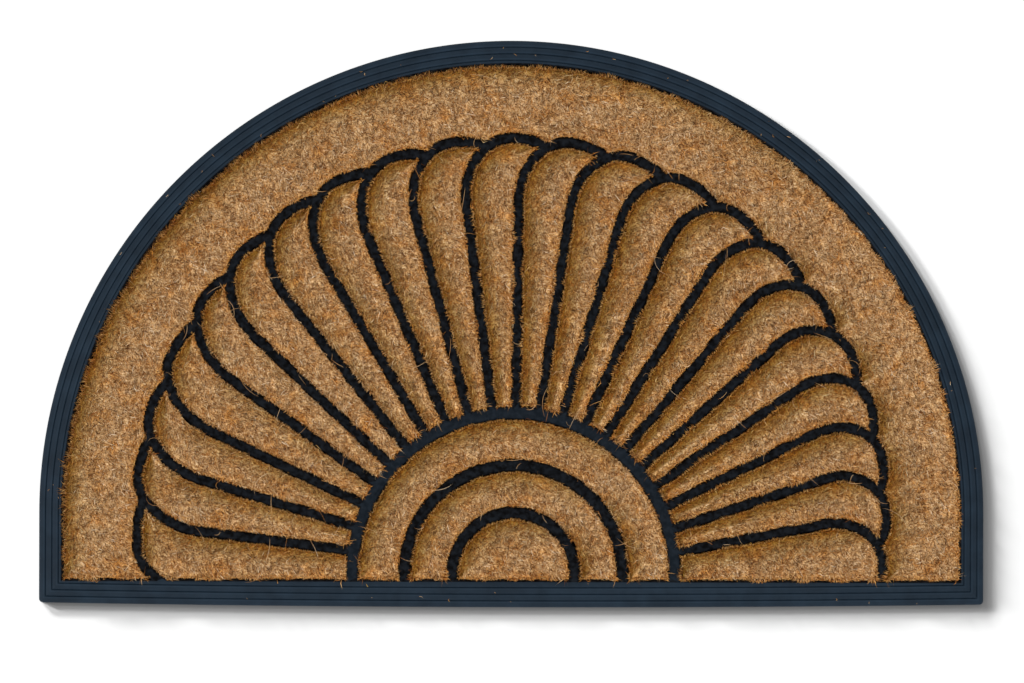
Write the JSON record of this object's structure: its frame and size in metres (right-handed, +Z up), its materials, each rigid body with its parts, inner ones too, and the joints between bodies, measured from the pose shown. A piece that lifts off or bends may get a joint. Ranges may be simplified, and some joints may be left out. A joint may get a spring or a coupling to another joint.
{
  "type": "half round coir doormat",
  "caption": "Half round doormat with coir pile set in a ribbed rubber tray, in a sunburst of curling petals and half rings.",
  "frame": {"origin": "on the floor, under the middle of the bounding box", "axes": "+X along the straight front edge, to the right seen from above with the round back up, +Y towards the round back, +Z up out of the pile"},
  "size_m": [0.75, 0.45, 0.0123],
  "materials": {
    "rubber": "satin, dark blue-grey moulded rubber",
    "coir": "dull, short golden brown coconut fibre pile"
  },
  "bodies": {
    "root": {"rubber_tray": "rubber", "coir_surround": "coir", "coir_petal_01": "coir", "coir_petal_02": "coir", "coir_petal_03": "coir", "coir_petal_04": "coir", "coir_petal_05": "coir", "coir_petal_06": "coir", "coir_petal_07": "coir", "coir_petal_08": "coir", "coir_petal_09": "coir", "coir_petal_10": "coir", "coir_petal_11": "coir", "coir_petal_12": "coir", "coir_petal_13": "coir", "coir_petal_14": "coir", "coir_petal_15": "coir", "coir_petal_16": "coir", "coir_petal_17": "coir", "coir_petal_18": "coir", "coir_petal_19": "coir", "coir_petal_20": "coir", "coir_petal_21": "coir", "coir_petal_22": "coir", "coir_band_outer": "coir", "coir_band_inner": "coir", "coir_half_disc": "coir"}
  },
  "joints": []
}
